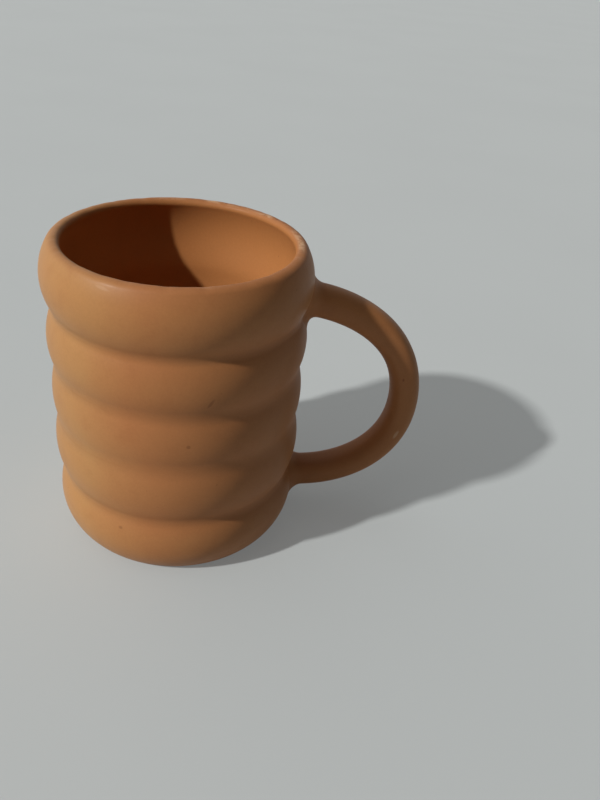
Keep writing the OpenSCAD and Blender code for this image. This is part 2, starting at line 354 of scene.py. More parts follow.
# top ring: up the outer wall, over the shoulder and the edge of the lip, down the hollow and out again
def rimProfile():
    low = creaseZ[-1] + halfSlip
    up = closeEnds(low, shoulderZ + body["lipR"] * math.sin(shoulderFrom), body["outerSteps"])
    outer = np.stack([outerWall(up), up], -1)
    overTurn = np.linspace(shoulderFrom, quarterTurn, profileSteps["shoulder"])[1:]
    over = roundOff(shoulder, body["lipR"], overTurn)
    edgeTurn = np.linspace(quarterTurn, lipTo, profileSteps["lipEdge"])
    edge = roundOff(lipEdge, body["lipEdgeR"], edgeTurn)
    down = closeEnds(edge[-1, 1], low, body["innerSteps"])[1:]
    inner = np.stack([innerWall(down), down], -1)
    bottom = acrossTo(inner[-1], outer[0])
    edgeIn = (edgeTurn - math.radians(maskReach["insideFrom"])) / math.radians(maskReach["insideOver"])
    inside = np.r_[np.zeros(len(outer) + len(over)), np.clip(edgeIn, 0, 1),
                   np.ones(len(inner)), np.linspace(1, 0, len(bottom))]
    return np.vstack([outer, over, edge, inner, bottom]), inside


# base disc: along the underside, round the foot's edge, up the wall and back over the floor, whose
# ripple is a cosine of the radius that fades at its end and at the axis
def baseProfile():
    middle, ends = touchInside(outerArcs[0], body["footRound"], body["footRound"])
    roundTurn = np.linspace(-quarterTurn, ends, profileSteps["footRound"])
    rounding = roundOff(middle, body["footRound"], roundTurn)
    out = np.linspace(0, rounding[0, 0], profileSteps["under"])[:-1]
    under = np.stack([out, np.zeros(len(out))], -1)
    up = np.linspace(rounding[-1, 1], body["floorT"], profileSteps["footWall"])[1:]
    wall = np.stack([outerWall(up), up], -1)
    back = np.linspace(wall[-1, 0], 0, profileSteps["floor"])[1:]
    fade = np.clip((handWaves["rippleR"] - back) / handWaves["rippleFade"], 0, 1)
    rings = np.cos(back * handWaves["ripplePitch"]) * np.clip(back / handWaves["rippleFade"], 0, 1)
    floor = np.stack([back, body["floorT"] + body["floorRipple"] * fade * (rings - 1)], -1)
    profile = np.vstack([under, rounding, wall, floor])
    return profile, np.r_[np.zeros(len(profile) - len(floor)), np.ones(len(floor))]


# slip bed under the wall with its fillet in the inside corner: a circle touching the floor and the wall
def baseJointProfile():
    low, high = body["floorT"], body["floorT"] + body["slipT"]
    edge, radius = body["slipEdge"], body["cornerR"]
    middle, touch = touchInside(innerArcs[0], radius + edge, low + edge + radius)
    out = np.linspace(middle[0], float(outerWall(np.array(low))), profileSteps["bed"])
    bed = np.stack([out, np.full(len(out), low)], -1)
    up = np.linspace(low, high, profileSteps["face"])[1:]
    face = np.stack([outerWall(up), up], -1)
    climb = np.linspace(high, middle[1] + radius * math.sin(touch), profileSteps["climb"])
    back = np.stack([arcReach(climb, innerArcs[0]), climb], -1)
    fillet = roundOff(middle, radius, np.linspace(touch, -quarterTurn, profileSteps["corner"]))
    inside = np.r_[np.zeros(len(bed) + len(face)), np.ones(len(back) + len(fillet))]
    return np.vstack([bed, face, back, fillet]), inside


ringLows = [body["floorT"] + body["slipT"]] + [z + halfSlip for z in creaseZ]
ringNames = ("foot", "lower", "middle", "upper")

clayPieces = {"base_disc": turnedPiece("baseDisc", *baseProfile(), onAxis=True)}
slipPieces = {"base_joint_slip": turnedPiece("baseJointSlip", *baseJointProfile())}
for ringName, low, z in zip(ringNames, ringLows, creaseZ):
    ring, crease = ringProfile(low, z - halfSlip), ringProfile(z - halfSlip, z + halfSlip)
    clayPieces[ringName + "_ring"] = turnedPiece(ringName + "Ring", *ring)
    slipPieces[ringName + "_crease_slip"] = turnedPiece(ringName + "CreaseSlip", *crease)
clayPieces["rim_ring"] = turnedPiece("rimRing", *rimProfile(), steps=body["rimTurnSteps"])
print("body turned:", len(clayPieces) + len(slipPieces), "pieces")


# looped handle, millimetres: two curves that meet at the outermost point, with a straight stub at
# each end
handle = {
    "width": 11.5,
    "fullness": 2.3,        # 2 is an ellipse, more is nearer a rounded block
    "topT": 10.0,
    "bendT": 9.9,
    "midT": 9.3,
    "lowT": 9.4,
    "bendAt": 0.5,          # way along the upper curve to the bend
    "topStart": (42.1, 76.7),
    "lowStart": (41.7, 13.0),
    "outermost": (73.3, 41.95),
    "topSlope": 12.0,
    "lowSlope": 1.0,
    "topPull": 13.9,
    "bendUp": 21.8,
    "bendDown": 18.4,
    "lowPull": 17.2,
    "squeeze": 0.012,       # most the fingers thinned it, as a share
    "pressWave": (9, 0.7),  # radians along each curve, lag
    "pinchWave": (7, 2.0),
    "rub": 0.8,             # most its outer side is rubbed
    "sides": 96,
    "steps": 150,
    "stubSteps": 8,
    "bedSteps": 4,
    "longestSlide": 14.0,   # most a point slides back to the wall
    "halvings": 34,
}

# slip round the handle's ends, millimetres: fillet from the wall to the handle
collar = {
    "spread": 4.0,
    "lift": 1.15,
    "seatT": 0.6,
    "sink": 0.04,           # how far the fillet's edge is worked into the wall
    # painted shade and dust: the fillet darkens like a crease
    "fold": 0.7,            # most the fillet keeps the dark of a crease
    "filletSteps": 22,
}

topStart, lowStart = np.array(handle["topStart"]), np.array(handle["lowStart"])
outermost, upward = np.array(handle["outermost"]), np.array([0.0, 1.0])
topSlope, lowSlope = math.radians(handle["topSlope"]), math.radians(handle["lowSlope"])
topWay = np.array([math.cos(topSlope), -math.sin(topSlope)])
lowWay = np.array([math.cos(lowSlope), math.sin(lowSlope)])
topCurve = np.array([topStart, topStart + handle["topPull"] * topWay,
                     outermost + handle["bendUp"] * upward, outermost])
lowCurve = np.array([outermost, outermost - handle["bendDown"] * upward,
                     lowStart + handle["lowPull"] * lowWay, lowStart])
sectionTurn = np.arange(handle["sides"]) * twoPi / handle["sides"]


# cosine or sine round the section, raised to 2 / fullness with its sign kept
def fuller(share):
    return np.sign(share) * np.abs(share) ** (2 / handle["fullness"])


sectionT, sectionW = fuller(np.cos(sectionTurn)), fuller(np.sin(sectionTurn))


# point and unit direction on a cubic curve: its four corners weighted by the Bernstein terms
def onCurve(corners, t):
    t = t[:, None]
    place = ((1 - t) ** 3 * corners[0] + 3 * (1 - t) ** 2 * t * corners[1]
             + 3 * (1 - t) * t ** 2 * corners[2] + t ** 3 * corners[3])
    way = ((1 - t) ** 2 * (corners[1] - corners[0]) + 2 * (1 - t) * t * (corners[2] - corners[1])
           + t ** 2 * (corners[3] - corners[2]))
    return place, way / np.linalg.norm(way, axis=1, keepdims=True)


# sections square to a path: place + half thickness on the path's normal, half width across
def ovals(place, way, halfT, halfW):
    normal = np.stack([-way[:, 1], way[:, 0]], -1)
    flat = place[:, None] + (halfT[:, None] * sectionT)[..., None] * normal[:, None]
    return np.stack([flat[..., 0], halfW[:, None] * sectionW, flat[..., 1]], -1)


# points slid back along the arm until they stand gap off the wall: found by halving the way
def onWall(points, arm, gap):
    back = np.array([arm[0], 0, arm[1]])
    near, far = np.zeros(points.shape[:-1]), np.full(points.shape[:-1], handle["longestSlide"])
    for _ in range(handle["halvings"]):
        middle = (near + far) / 2
        x, y, z = np.moveaxis(points - middle[..., None] * back, -1, 0)
        off = np.hypot(x, y) - wallAt(np.arctan2(y, x), z)
        near, far = np.where(off > gap, middle, near), np.where(off > gap, far, middle)
    return points - near[..., None] * back


# rings of a bed on the wall, from near its middle out to a section spread wider than the handle
def wallBed(start, arm, thick, spread, gap):
    share = np.arange(1, handle["bedSteps"] + 1) / handle["bedSteps"]
    places, ways = np.repeat(start[None], len(share), 0), np.repeat(arm[None], len(share), 0)
    bed = ovals(places, ways, (thick / 2 + spread) * share, (handle["width"] / 2 + spread) * share)
    return onWall(bed, arm, gap)


# middle of a bed: the arm's start slid back to the wall
def wallPole(start, arm, gap):
    return onWall(np.array([[start[0], 0, start[1]]]), arm, gap)


# thickness along the loop: half a cosine wave from each of its four named places to the next
def loopThickness(u):
    thick = np.array([handle[key] for key in ("topT", "bendT", "midT", "lowT")])
    at = np.array([0.0, handle["bendAt"], 1.0, 2.0])
    step = np.clip(np.searchsorted(at, u, "right") - 1, 0, len(at) - 2)
    share = (u - at[step]) / (at[step + 1] - at[step])
    return thick[step] + (thick[step + 1] - thick[step]) * (0.5 - 0.5 * np.cos(math.pi * share))


# share of the thickness that the fingers left along the loop: 1 less a cosine that dies out at both ends
def squeezed(u, wave):
    turns, lag = wave
    fade = handle["squeeze"] * np.sin(math.pi * u / 2)
    return 1 - fade * (0.5 + 0.5 * np.cos(u * turns + lag))


# handle: a bed at each end, a straight stub, and the loop between them
def handlePiece():
    t = np.linspace(0, 1, handle["steps"] // 2)
    topPlace, topDir = onCurve(topCurve, t)
    lowPlace, lowDir = onCurve(lowCurve, t[1:])
    place, way = np.vstack([topPlace, lowPlace]), np.vstack([topDir, lowDir])
    u = np.r_[t, 1 + t[1:]]
    halfT = loopThickness(u) / 2 * squeezed(u, handle["pressWave"])
    halfW = handle["width"] / 2 * squeezed(u, handle["pinchWave"])
    loop = ovals(place, way, halfT, halfW)
    seat, sides = collar["seatT"], handle["sides"]
    topBed = wallBed(topStart, topWay, handle["topT"], 0, seat)
    lowBed = wallBed(lowStart, lowWay, handle["lowT"], 0, seat)
    facing = (sides // 2 - np.arange(sides)) % sides  # the loop comes in the other way
    lowBed = lowBed[::-1, facing]
    along = np.linspace(0, 1, handle["stubSteps"] + 1)[1:-1, None, None]
    topStub = topBed[-1] + along * (loop[0] - topBed[-1])
    lowStub = loop[-1] + along * (lowBed[0] - loop[-1])
    rings = np.vstack([topBed, topStub, loop, lowStub, lowBed])
    poles = np.vstack([wallPole(topStart, topWay, seat), wallPole(lowStart, lowWay, seat)])
    outerSide = handle["rub"] * np.clip(np.cos(sectionTurn), 0, 1) ** 2
    masks = {"rub": np.repeat(outerSide[None], len(rings), 0)}
    return ringMesh("loopHandle", rings * mm, poles * mm, masks)


# slip collar: a bed on the wall, a fillet from its edge up to the handle, and the seat; the fillet is a
# quadratic curve from toe to rise, with the knee at the root as its middle corner
def collarPiece(name, start, arm, thick):
    sink, seatT = collar["sink"], collar["seatT"]
    pad = wallBed(start, arm, thick, collar["spread"], -sink)
    toe = pad[-1]
    rise = ovals(start[None], arm[None], np.array([thick / 2]), np.array([handle["width"] / 2]))[0]
    knee = onWall(rise, arm, 0.0) + collar["lift"] * np.array([arm[0], 0, arm[1]])
    t = np.linspace(0, 1, collar["filletSteps"] + 1)[1:, None, None]
    fillet = (1 - t) ** 2 * toe + 2 * t * (1 - t) * knee + t ** 2 * rise
    seat = wallBed(start, arm, thick, 0, seatT)[::-1]
    rings = np.vstack([pad, fillet, seat])
    poles = np.vstack([wallPole(start, arm, -sink), wallPole(start, arm, seatT)])
    bend = np.r_[np.zeros(len(pad)), 4 * t[:, 0, 0] * (1 - t[:, 0, 0]), np.zeros(len(seat))]
    # the fillet's middle takes the creases' dust and painted shade
    masks = {"fold": np.repeat(collar["fold"] * bend[:, None], handle["sides"], 1)}
    return ringMesh(name, rings * mm, poles * mm, masks)


clayPieces["handle"] = handlePiece()
slipPieces["upper_handle_slip"] = collarPiece("upperHandleSlip", topStart, topWay, handle["topT"])
slipPieces["lower_handle_slip"] = collarPiece("lowerHandleSlip", lowStart, lowWay, handle["lowT"])
print("handle pulled and luted on")


# sockets filled by name or number: a socket is linked, anything else is its value
def fill(tree, node, sockets):
    for key, value in sockets.items():
        if isinstance(value, bpy.types.NodeSocket):
            tree.links.new(value, node.inputs[key])
        else:
            node.inputs[key].default_value = value
    return node


# new node with its fields set and its sockets filled
def put(tree, kind, sockets=None, **fields):
    node = tree.nodes.new(kind)
    for name, value in fields.items():
        setattr(node, name, value)
    return fill(tree, node, sockets or {})


# one Math node
def calc(tree, operation, a, b, clamp=False):
    return put(tree, "ShaderNodeMath", {0: a, 1: b}, operation=operation, use_clamp=clamp).outputs[0]


# a Math node that multiplies
def times(tree, a, b):
    return calc(tree, "MULTIPLY", a, b)


# one Vector Math node, with all its outputs
def vectorCalc(tree, operation, a, b=(0, 0, 0)):
    return put(tree, "ShaderNodeVectorMath", {0: a, 1: b}, operation=operation).outputs


# colour a turned into b by a share
def blendColour(tree, share, a, b, mode="MIX"):
    sockets = {0: share, 6: a, 7: b}
    return put(tree, "ShaderNodeMix", sockets, data_type="RGBA", blend_type=mode).outputs[2]


# smooth step: start up to low, end from high
def ease(tree, value, low, high, start=0.0, end=1.0):
    sockets = {"Value": value, "From Min": low, "From Max": high, "To Min": start, "To Max": end}
    return put(tree, "ShaderNodeMapRange", sockets, interpolation_type="SMOOTHSTEP").outputs[0]


# noise whose clouds are about size metres across
def noise(tree, vector, size, detail, rough):
    scale = calc(tree, "DIVIDE", 1.0, size)
    sockets = {"Vector": vector, "Scale": scale, "Detail": detail, "Roughness": rough}
    return put(tree, "ShaderNodeTexNoise", sockets).outputs[0]


# empty group with its sockets: f is a number, c a colour, v a vector
def startGroup(name, inputs, outputs):
    tree = bpy.data.node_groups.new(name, "ShaderNodeTree")
    kinds = {"f": "NodeSocketFloat", "c": "NodeSocketColor", "v": "NodeSocketVector"}
    for direction, sockets in (("INPUT", inputs), ("OUTPUT", outputs)):
        for socketName, kind in sockets.items():
            tree.interface.new_socket(socketName, in_out=direction, socket_type=kinds[kind])
    return tree, tree.nodes.new("NodeGroupInput").outputs, tree.nodes.new("NodeGroupOutput")


# fired clay's clouds and painted light: a noise is its detail and roughness, a step its two ends
toneMix = {
    # painted light: the pink's share is least on the lit side, where the tan shows
    "litSideShare": (-0.25, 0.9),   # of the second colour, before and after the turn
    "cloudNoise": (2.5, 0.5),
    "cloudStep": (0.34, 0.66),
    "cloudShare": 0.35,          # most a slow cloud adds to that
    "smallSize": 0.22,           # of a slow cloud's
    "smallNoise": (4.0, 0.6),
    "smallStep": (0.48, 0.78),
}


# fired clay's tone, with painted light: a lighter, yellower tan on the lit side eases into the body's
# pink across the mug, with slow clouds, and a third colour in smaller ones; the Cloud output holds both
def clayToneGroup():
    tree, given, made = startGroup(
        "clayTone",
        {"Vector": "v", "Lit Side Tan": "c", "Pink": "c", "Deep": "c", "Cloud Size": "f", "Deep Share": "f",
         "Lit Side From": "f", "Lit Side To": "f"},
        {"Color": "c", "Cloud": "f"})
    across = put(tree, "ShaderNodeSeparateXYZ", {0: given["Vector"]}).outputs["X"]
    # painted light: lighter tan on the lit side, turning to pink across the mug
    turned = ease(tree, across, given["Lit Side From"], given["Lit Side To"], *toneMix["litSideShare"])
    slow = noise(tree, given["Vector"], given["Cloud Size"], *toneMix["cloudNoise"])
    clouded = ease(tree, slow, *toneMix["cloudStep"], 0.0, toneMix["cloudShare"])
    cloud = calc(tree, "ADD", turned, clouded, clamp=True)
    smallSize = times(tree, given["Cloud Size"], toneMix["smallSize"])
    small = noise(tree, given["Vector"], smallSize, *toneMix["smallNoise"])
    deep = times(tree, ease(tree, small, *toneMix["smallStep"]), given["Deep Share"])
    tone = blendColour(tree, cloud, given["Lit Side Tan"], given["Pink"])
    fill(tree, made, {"Color": blendColour(tree, deep, tone, given["Deep"]), "Cloud": cloud})
    return tree


# sand grain, and the lines of a rib or finger: detail and roughness of their noises
grainMix = {
    "grainNoise": (3.0, 0.65),
    "lineSize": 0.02,
    "lineNoise": (3.0, 0.55),
}


# clay's surface: fine sand grain, and faint lines where a rib or finger ran along it
def clayGrainGroup():
    tree, given, made = startGroup(
        "clayGrain",
        {"Vector": "v", "Grain Size": "f", "Line Stretch": "v", "Lines": "f"},
        {"Height": "f", "Grain": "f"})
    grain = noise(tree, given["Vector"], given["Grain Size"], *grainMix["grainNoise"])
    drawnOut = vectorCalc(tree, "MULTIPLY", given["Vector"], given["Line Stretch"])[0]
    lines = noise(tree, drawnOut, grainMix["lineSize"], *grainMix["lineNoise"])
    height = calc(tree, "ADD", grain, times(tree, lines, given["Lines"]))
    fill(tree, made, {"Height": height, "Grain": grain})
    return tree


speckCore = 0.5   # part of a speck's width that is fully dark
markCore = 0.45   # part of a mark's reach that is full


# iron specks: cells of clay, a few of which hold a dark grain at their middle
def ironSpecksGroup():
    tree, given, made = startGroup(
        "ironSpecks", {"Vector": "v", "Spacing": "f", "Speck": "f", "Rarity": "f"}, {"Mask": "f"})
    scale = calc(tree, "DIVIDE", 1.0, given["Spacing"])
    cells = put(tree, "ShaderNodeTexVoronoi", {"Vector": given["Vector"], "Scale": scale}).outputs
    split = put(tree, "ShaderNodeSeparateColor", {0: cells["Color"]}).outputs
    width = times(tree, given["Speck"], split[1])
    dot = ease(tree, cells["Distance"], times(tree, width, speckCore), width, 1.0, 0.0)
    chosen = calc(tree, "GREATER_THAN", split[0], given["Rarity"])
    fill(tree, made, {"Mask": times(tree, dot, chosen)})
    return tree


# one small mark: an ellipsoid turned about its place, full inside and gone at its reach
def smallMarkGroup():
    tree, given, made = startGroup(
        "smallMark", {"Vector": "v", "Place": "v", "Turn": "v", "Reach": "v"}, {"Mask": "f"})
    away = vectorCalc(tree, "SUBTRACT", given["Vector"], given["Place"])[0]
    turned = put(tree, "ShaderNodeVectorRotate", {"Vector": away, "Rotation": given["Turn"]},
                 rotation_type="EULER_XYZ", invert=True).outputs[0]
    length = vectorCalc(tree, "LENGTH", vectorCalc(tree, "DIVIDE", turned, given["Reach"])[0])["Value"]
    fill(tree, made, {"Mask": ease(tree, length, markCore, 1.0, 1.0, 0.0)})
    return tree


# wear from handling, and on the lip with its painted shade and glints: a noise is its size in metres,
# detail and roughness, a step its two ends and what it goes from and to
wearMix = {
    "rubNoise": (0.004, 4.0, 0.65),
    "rubStep": (0.3, 0.7, 0.4, 1.0),
    "stretchNoise": (0.013, 2.0, 0.5),
    "stretchStep": (0.42, 0.58),
    "paleNoise": (0.004, 4.0, 0.7),
    "paleStep": (0.38, 0.6),
    # pale wear and painted glint: how much of the pale the lip's edge takes
    "paleShare": 0.85,
    "chipNoise": (0.0015, 3.0, 0.6),
    "chipStep": (0.62, 0.7),
    "chipShare": 0.7,
    "edgeStep": (0.55, 0.95),
    # painted shade: share of the darker red on the lip's edge
    "edgeShare": 0.5,
    # painted glint and wear: the pale and the chips come in along the way to the lit edge
    "wayStep": (0.008, 0.024, 0.12, 1.0),   # metres from the axis along the worn way
}


# handling: creases keep a little dark as dust and painted shade, crests are rubbed, broken up by a small
# noise
def handWearAndCreaseShadeGroup():
    tree, given, made = startGroup(
        "handWearAndCreaseShade",
        {"Vector": "v", "Color": "c", "Fold": "f", "Rub": "f", "Dust And Shade": "c", "Rubbed": "c",
         "Fold Share": "f", "Rub Share": "f"},
        {"Color": "c", "Gloss": "f"})
    broken = ease(tree, noise(tree, given["Vector"], *wearMix["rubNoise"]), *wearMix["rubStep"])
    rub = times(tree, times(tree, given["Rub"], given["Rub Share"]), broken)
    # dust and painted shade where the creases are
    creaseDustShadeShare = times(tree, given["Fold"], given["Fold Share"])
    dustyAndShaded = blendColour(tree, creaseDustShadeShare, given["Color"], given["Dust And Shade"])
    fill(tree, made, {"Color": blendColour(tree, rub, dustyAndShaded, given["Rubbed"]), "Gloss": rub})
    return tree


# lip: a red-brown edge darkened as painted shade, pale rubbed stretches that are partly painted glints,
# and a few dark chips, each where its noise is high, most of them on the lit side along a given way from
# the axis
def lipWearShadeGlintGroup():
    tree, given, made = startGroup(
        "lipWear",
        {"Vector": "v", "Color": "c", "Edge": "f", "Worn And Lit Way": "v", "Red": "c", "Pale Wear And Glint": "c",
         "Dark": "c"},
        {"Color": "c", "Chips": "f"})
    stretch, patch, chips = (
        ease(tree, noise(tree, given["Vector"], *wearMix[kind + "Noise"]), *wearMix[kind + "Step"])
        for kind in ("stretch", "pale", "chip"))
    along = vectorCalc(tree, "DOT_PRODUCT", given["Vector"], given["Worn And Lit Way"])["Value"]
    onEdge = ease(tree, given["Edge"], *wearMix["edgeStep"])
    near = times(tree, onEdge, ease(tree, along, *wearMix["wayStep"]))
    # pale wear and painted glint on the lit inner edge of the lip
    pale = times(tree, times(tree, times(tree, patch, stretch), near), wearMix["paleShare"])
    chipMask = times(tree, chips, near)
    # painted shade: the lip's edge darkened to red-brown
    redShadeShare = times(tree, given["Edge"], wearMix["edgeShare"])
    redShadedEdge = blendColour(tree, redShadeShare, given["Color"], given["Red"])
    worn = blendColour(tree, pale, redShadedEdge, given["Pale Wear And Glint"])
    colour = blendColour(tree, times(tree, chipMask, wearMix["chipShare"]), worn, given["Dark"])
    fill(tree, made, {"Color": colour, "Chips": chipMask})
    return tree


groups = {
    "tone": clayToneGroup(),
    "grain": clayGrainGroup(),
    "specks": ironSpecksGroup(),
    "mark": smallMarkGroup(),
    "wear": handWearAndCreaseShadeGroup(),
    "lip": lipWearShadeGlintGroup(),
}


# a group placed in a material with its own values
def useGroup(tree, name, sockets):
    return put(tree, "ShaderNodeGroup", sockets, node_tree=groups[name]).outputs


# fired clay, as it is on the turned rings and the pulled handle, with painted light and shade; sizes in
# metres
terracotta = {
    # painted light: the tan is the lighter, yellower lit side, the pink the body's own colour
    "litSideTan": (0.445, 0.226, 0.085, 1),
    "pink": (0.42, 0.172, 0.064, 1),
    "deep": (0.295, 0.102, 0.034, 1),
    # dark of dust and of painted shade in creases, also of specks, pits and chips
    "dustAndShade": (0.19, 0.066, 0.024, 1),
    "rubbed": (0.49, 0.23, 0.08, 1),
    "inner": (0.46, 0.19, 0.06, 1),
    "innerShare": 0.8,
    # painted shade: the lip's edge darker, red-brown
    "lipRedAndShade": (0.31, 0.12, 0.042, 1),
    # pale wear and painted glint, on the lip's lit edge and in the scuffs
    "paleWearAndGlint": (0.62, 0.4, 0.24, 1),
    # wear and painted glint: from the axis to the side of the lip that the light falls on
    "wornAndLitWay": (0.82, 0.57, 0.0),   # from the axis to the most worn side of the lip
    # painted light: where the lit side's tan turns to pink, across the mug
    "litSideSpan": (-0.032, -0.006),   # across the mug
    "cloudSize": 0.03,
    "deepShare": 0.2,
    "grainSize": 0.0007,
    "grainStep": (0.25, 0.75),
    "grainShade": 0.03,
    "lineStretch": (1.0, 1.0, 9.0),
    "lines": 0.5,
    "speckSpacing": 0.0028,
    "speckSize": 0.11,              # widest, as a share of the spacing
    "speckRarity": 0.72,            # share of the cells with no speck
    "speckShare": 0.35,
    # painted shade and dust: share of the dark in the creases
    "foldShare": 0.03,
    "rubShare": 0.3,
    "pitShare": 0.6,
    "rough": 0.45,
    "cloudRough": 0.06,             # added in a cloud
    "insideRough": 0.1,             # added inside the mug
    "underRough": 0.2,              # added on the underside
    "rubGloss": 0.25,               # taken off where it is rubbed
    "bump": 0.1,
    "bumpDepth": 0.00012,
    "pitDepth": 2.0,                # in grain heights
    "chipDepth": 1.5,
    "ior": 1.45,
    "specular": 0.2,
    "coat": 0.03,
    "coatRough": 0.25,
}

# slip, wiped smooth with a wet finger: its lit side's tan a little darker, its grain finer
slipClay = dict(terracotta, litSideTan=(0.435, 0.217, 0.08, 1), deepShare=0.12, grainSize=0.0005, lines=0.15,
                rough=0.48, bump=0.07)

# small marks on the outside, millimetres: place, turn in degrees, reach, and share of the full mark
marks = {
    "pits": [
        ((2.47, -37.99, 49.61), (0, 0, 0), (0.8, 0.9, 0.7), 0.85),
        ((-17.01, -33.05, 16.94), (0, 0, 0), (0.8, 0.9, 0.65), 0.7),
        ((8.26, -37.2, 63.16), (0, 56.5, 179.2), (2.1, 1.2, 0.6), 0.75),
        ((70.5, -5.6, 52.1), (0, 0, 0), (0.4, 0.6, 0.7), 1.0),
    ],
    # pale scuffs, partly painted glints: on the lip's shoulder and the handle's lower bend
    "scuffsAndGlints": [
        ((-18.8, -31.64, 93.02), (0, 5.6, -32.8), (2.6, 1.2, 0.5), 0.2),
        ((71.3, -5.7, 31.0), (0, 22, 0), (0.7, 0.9, 2.2), 0.6),
    ],
}


# masks of one kind of mark added up
def markMask(tree, vector, kind):
    total = 0.0
    for place, turn, reach, share in marks[kind]:
        sockets = {"Vector": vector, "Place": [x * mm for x in place],
                   "Turn": [math.radians(x) for x in turn], "Reach": [x * mm for x in reach]}
        mark = times(tree, useGroup(tree, "mark", sockets)["Mask"], share)
        total = calc(tree, "ADD", mark, total, clamp=True)
    return total


# colour: tone with painted light on the lit side, inside, handling with painted shade in the creases,
# lip with painted shade and glints, specks, pits, and scuffs with painted glints, in turn, shaded by the
# grain
# roughness: more in clouds, inside and underneath, less where it is rubbed
# height: grain and lines less pits and chips
def terracottaMaterial(name, finish):
    material = bpy.data.materials.new(name)
    material.use_nodes = True
    tree = material.node_tree
    tree.nodes.clear()
    vector = put(tree, "ShaderNodeTexCoord").outputs["Object"]
    fold, rub, edge, inside, under = (
        put(tree, "ShaderNodeAttribute", attribute_name=mask).outputs["Fac"]
        for mask in ("fold", "rub", "edge", "inside", "under"))
    tone = useGroup(tree, "tone", {
        "Vector": vector, "Lit Side Tan": finish["litSideTan"], "Pink": finish["pink"], "Deep": finish["deep"],
        "Cloud Size": finish["cloudSize"], "Deep Share": finish["deepShare"],
        "Lit Side From": finish["litSideSpan"][0], "Lit Side To": finish["litSideSpan"][1]})
    grain = useGroup(tree, "grain", {
        "Vector": vector, "Grain Size": finish["grainSize"], "Line Stretch": finish["lineStretch"],
        "Lines": finish["lines"]})
    specks = useGroup(tree, "specks", {
        "Vector": vector, "Spacing": finish["speckSpacing"], "Speck": finish["speckSize"],
        "Rarity": finish["speckRarity"]})
    innerShare = times(tree, inside, finish["innerShare"])
    bodyTone = blendColour(tree, innerShare, tone["Color"], finish["inner"])
    wear = useGroup(tree, "wear", {
        "Vector": vector, "Color": bodyTone, "Fold": fold, "Rub": rub, "Dust And Shade": finish["dustAndShade"],
        "Rubbed": finish["rubbed"], "Fold Share": finish["foldShare"], "Rub Share": finish["rubShare"]})
    lip = useGroup(tree, "lip", {
        "Vector": vector, "Color": wear["Color"], "Edge": edge, "Worn And Lit Way": finish["wornAndLitWay"],
        "Red": finish["lipRedAndShade"], "Pale Wear And Glint": finish["paleWearAndGlint"], "Dark": finish["dustAndShade"]})
    pitMask, scuffGlintMask = markMask(tree, vector, "pits"), markMask(tree, vector, "scuffsAndGlints")

    speckShare = times(tree, specks["Mask"], finish["speckShare"])
    colour = blendColour(tree, speckShare, lip["Color"], finish["dustAndShade"])
    colour = blendColour(tree, times(tree, pitMask, finish["pitShare"]), colour, finish["dustAndShade"])
    # painted glint and wear: the scuffs lightened to pale
    colour = blendColour(tree, scuffGlintMask, colour, finish["paleWearAndGlint"])
    shade = ease(tree, grain["Grain"], *finish["grainStep"],
                 1 - finish["grainShade"], 1 + finish["grainShade"])
    shadeColour = put(tree, "ShaderNodeCombineColor", {0: shade, 1: shade, 2: shade}).outputs[0]
    colour = blendColour(tree, 1.0, colour, shadeColour, "MULTIPLY")

    rough = calc(tree, "ADD", times(tree, tone["Cloud"], finish["cloudRough"]), finish["rough"])
    rough = calc(tree, "SUBTRACT", rough, times(tree, wear["Gloss"], finish["rubGloss"]))
    unrubbed = calc(tree, "ADD", times(tree, inside, finish["insideRough"]),
                    times(tree, under, finish["underRough"]))
    rough = calc(tree, "ADD", rough, unrubbed, clamp=True)

    sunk = calc(tree, "ADD", times(tree, pitMask, finish["pitDepth"]),
                times(tree, lip["Chips"], finish["chipDepth"]))
    height = calc(tree, "SUBTRACT", grain["Height"], sunk)
    bump = put(tree, "ShaderNodeBump", {
        "Strength": finish["bump"], "Distance": finish["bumpDepth"], "Height": height})
    shader = put(tree, "ShaderNodeBsdfPrincipled", {
        "Base Color": colour, "Roughness": rough, "Normal": bump.outputs[0], "IOR": finish["ior"],
        "Specular IOR Level": finish["specular"], "Coat Weight": finish["coat"],
        "Coat Roughness": finish["coatRough"]})
    put(tree, "ShaderNodeOutputMaterial", {"Surface": shader.outputs[0]})
    return material


clayMaterial = terracottaMaterial("firedTerracotta", terracotta)
slipMaterial = terracottaMaterial("firedSlip", slipClay)
finished = ((clayPieces, clayMaterial, "terracotta"), (slipPieces, slipMaterial, "slip"))
for pieces, material, slotName in finished:
    for nodeName, piece in pieces.items():
        piece.data.materials.append(material)
        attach(piece, "root")
        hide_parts(nodeName)
print("clay finished:", len(bpy.data.materials), "materials")


